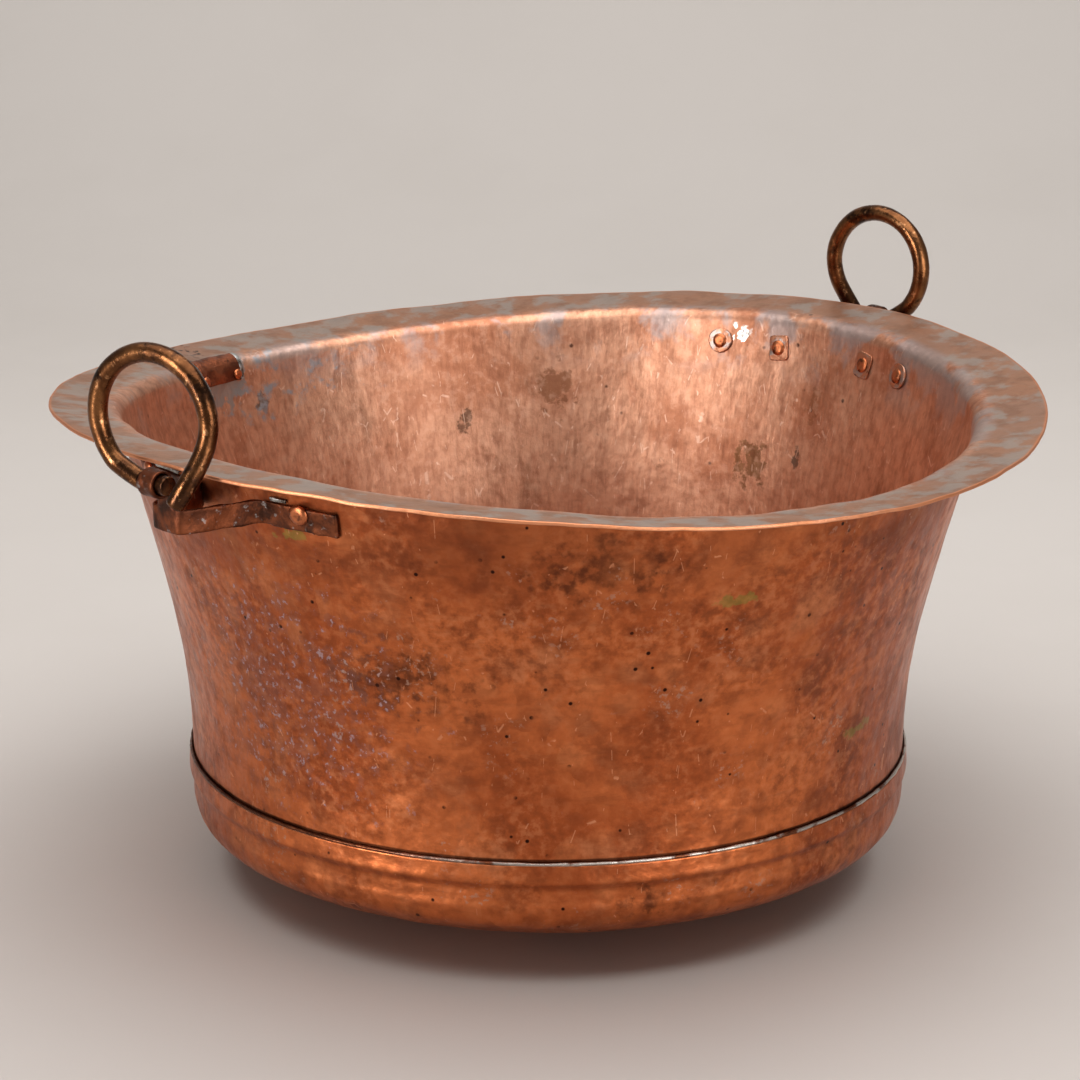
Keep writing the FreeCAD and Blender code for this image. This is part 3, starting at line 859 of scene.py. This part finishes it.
def make_bead():
    """A thin ring of solder, thicker in some places than in others."""
    bm = bmesh.new()
    bmesh.ops.create_circle(bm, segments=10, radius=BEAD_RADIUS, cap_ends=False)
    place = Matrix.Translation(BEAD_PLACE) @ Matrix.Rotation(math.pi / 2, 4, "X")
    bmesh.ops.transform(bm, matrix=place, verts=bm.verts)
    bmesh.ops.spin(bm, geom=bm.verts[:] + bm.edges[:], cent=(0, 0, 0), axis=(0, 0, 1),
                   angle=2 * math.pi, steps=720, use_merge=True, dvec=(0, 0, 0))
    bmesh.ops.remove_doubles(bm, verts=bm.verts, dist=1e-6)
    bmesh.ops.recalc_face_normals(bm, faces=bm.faces)
    bm.normal_update()
    for vert in bm.verts:
        lump = noise.noise(vert.co * 60.0) + 0.7 * noise.noise(vert.co * 190.0)
        vert.co += vert.normal * (0.45 * MM * lump - 0.15 * MM)
    return link_mesh("seam_bead", bm)


bead = make_bead()
bead.data.materials.append(finishes["seam_solder"])
claim(bead, "vessel", "grey_solder", "seam_solder")

# %% [markdown]
# ## The ring handles
# Each ring was bent from one rod. One end runs straight through the strap's eye, and
# the other comes down outside the rim. The rod's middle line is worked out first. A
# circle is then carried along it: each step extrudes the loop, moves it on and tips it
# to face the new direction. This is how a sweep is built by hand.

# %% The rod's middle line
EYE_X = 0.3095
EYE_Z = 0.299
ROD = 5.5 * MM
RING_RADIUS = 0.036
RING_DROP = 1.0 * MM
EYE_START = 0.011
EYE_RUN = 0.023
EYE_STEPS = 6
FIRST_TURN = 42
LAST_TURN = 270
TURN_STEP = 12
RING_FOOT = [(0.0356, 0.0270, 0.0016), (0.0348, 0.0185, 0.0052), (0.0330, 0.0100, 0.0098),
             (0.0304, 0.0020, 0.0136), (0.0272, -0.0050, 0.0155)]
HANDLES = {"right": (0.0, 4.0), "left": (183.5, 14.0)}


def ring_line(twist):
    """Points along the rod, for a ring that stands on the X axis."""
    line = [Vector((EYE_X, EYE_START - EYE_RUN * step / EYE_STEPS, EYE_Z))
            for step in range(EYE_STEPS + 1)]
    bow = []
    for angle in range(FIRST_TURN, LAST_TURN + 1, TURN_STEP):
        turn = math.radians(angle)
        bow.append((-RING_RADIUS * math.sin(turn), RING_RADIUS * (1 - math.cos(turn)), 0.0))
    for across, up, out in bow + RING_FOOT:
        line.append(Vector((EYE_X + out - across * math.sin(twist), across * math.cos(twist),
                            EYE_Z + up - RING_DROP)))
    return rounded(line, 3)


# %% Sweep the rings
ROD_SIDES = 20
END_ROUND = 0.9 * MM
END_DOME = 0.6 * MM


def sweep_rod(bm, line, radius):
    """Carries a circle along a line and closes both ends."""
    bmesh.ops.create_circle(bm, segments=ROD_SIDES, radius=radius, cap_ends=False)
    facing = (line[1] - line[0]).normalized()
    start = Vector((0, 0, 1)).rotation_difference(facing).to_matrix().to_4x4()
    bmesh.ops.transform(bm, matrix=Matrix.Translation(line[0]) @ start, verts=bm.verts)
    loop = bm.edges[:]
    for number, (here, there) in enumerate(zip(line, line[1:]), 1):
        beyond = line[min(number + 1, len(line) - 1)]
        new_facing = (beyond - here).normalized()
        made = bmesh.ops.extrude_edge_only(bm, edges=loop)["geom"]
        verts = [g for g in made if isinstance(g, bmesh.types.BMVert)]
        loop = [g for g in made if isinstance(g, bmesh.types.BMEdge)
                and g.verts[0] in verts and g.verts[1] in verts]
        bmesh.ops.translate(bm, verts=verts, vec=there - here)
        tip = facing.rotation_difference(new_facing).to_matrix()
        bmesh.ops.rotate(bm, verts=verts, cent=there, matrix=tip)
        facing = new_facing
    bmesh.ops.holes_fill(bm, edges=[e for e in bm.edges if e.is_boundary], sides=0)
    caps = [f for f in bm.faces if len(f.verts) > 4]
    bmesh.ops.inset_region(bm, faces=caps, thickness=END_ROUND, depth=END_DOME)
    bmesh.ops.recalc_face_normals(bm, faces=bm.faces)


WEAR_IN_EYE = 0.05 * MM
WEAR_OUTSIDE = 0.23 * MM
WEAR_GROWS = (EYE_Z + 6.5 * MM, EYE_Z + 12.0 * MM)


def make_ring(name, place, twist):
    """A worn rod bent into a ring and turned to its place round the rim, in degrees."""
    bm = bmesh.new()
    sweep_rod(bm, ring_line(math.radians(twist)), ROD)
    bm.normal_update()
    for vert in bm.verts:
        worn = noise.noise(vert.co * 45.0) + 0.5 * noise.noise(vert.co * 130.0)
        past_eye = fade(vert.co.z, *WEAR_GROWS)
        vert.co += vert.normal * (WEAR_IN_EYE + WEAR_OUTSIDE * past_eye) * worn
    turn = Matrix.Rotation(math.radians(place), 3, "Z")
    bmesh.ops.rotate(bm, verts=bm.verts, cent=(0, 0, 0), matrix=turn)
    ring = link_mesh(name, bm)
    smooth = ring.modifiers.new("smooth", "SUBSURF")
    smooth.levels = 1
    smooth.render_levels = 1
    ring.data.materials.append(finishes["bronze"])
    return ring


for side, (place, twist) in HANDLES.items():
    ring = make_ring("forged_ring_" + side, place, twist)
    claim(ring, "ring_" + side, "bronze", "ring_handle_" + side)

# %% [markdown]
# ## Straps, rivets, washers and the patch
# These small pieces were cut and beaten by hand. A copy of each solid is merged into
# one skin and rebuilt in even cells, so that its edges soften and its faces can be
# worked unevenly, while it keeps its place on the kettle.


# %% A beaten copy of a solid
DINTS_PER_METRE = 120.0


def beaten_copy(node, cell, depth, finish, slot):
    """Rebuilds a solid in cells of a given size and works its faces to a given depth."""
    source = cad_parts[node]
    piece = bpy.data.objects.new("beaten_" + node, source.data.copy())
    bpy.context.scene.collection.objects.link(piece)
    bm = bmesh.new()
    bm.from_mesh(piece.data)
    bmesh.ops.remove_doubles(bm, verts=bm.verts, dist=1e-5)
    bm.to_mesh(piece.data)
    bm.free()
    rebuilt = piece.modifiers.new("even_cells", "REMESH")
    rebuilt.mode = "VOXEL"
    rebuilt.voxel_size = cell
    bpy.context.view_layer.update()
    even = piece.evaluated_get(bpy.context.evaluated_depsgraph_get())
    mesh = bpy.data.meshes.new_from_object(even)
    piece.modifiers.clear()
    bm = bmesh.new()
    bm.from_mesh(mesh)
    bmesh.ops.smooth_vert(bm, verts=bm.verts, factor=0.5, use_axis_x=True, use_axis_y=True,
                          use_axis_z=True)
    bm.normal_update()
    for vert in bm.verts:
        vert.co += vert.normal * depth * noise.noise(vert.co * DINTS_PER_METRE)
    bm.to_mesh(mesh)
    bm.free()
    mesh.polygons.foreach_set("use_smooth", [True] * len(mesh.polygons))
    piece.data = mesh
    piece.data.materials.clear()
    piece.data.materials.append(finishes[finish])
    claim(piece, "vessel", slot, node)


# %% Beat the small pieces
RIVETS = {"left": 3, "right": 4}
for side, count in RIVETS.items():
    beaten_copy("handle_strap_" + side, 0.9 * MM, 0.7 * MM, "dark_copper", "dark_copper")
    beaten_copy("strap_solder_" + side, 0.5 * MM, 0.8 * MM, "grey_solder", "grey_solder")
    for number in range(1, count + 1):
        beaten_copy("strap_rivet_%s_%d" % (side, number), 0.4 * MM, 0.6 * MM, "rivet_copper",
                    "dark_copper")
        beaten_copy("rivet_washer_%s_%d" % (side, number), 0.45 * MM, 0.6 * MM, "tinned_copper",
                    "tinned_copper")
beaten_copy("repair_patch", 0.45 * MM, 0.5 * MM, "patch_copper", "tinned_copper")
beaten_copy("patch_solder", 0.4 * MM, 0.6 * MM, "grey_solder", "grey_solder")
for number in (1, 2):
    beaten_copy("patch_rivet_%d" % number, 0.4 * MM, 0.4 * MM, "rivet_copper", "tinned_copper")
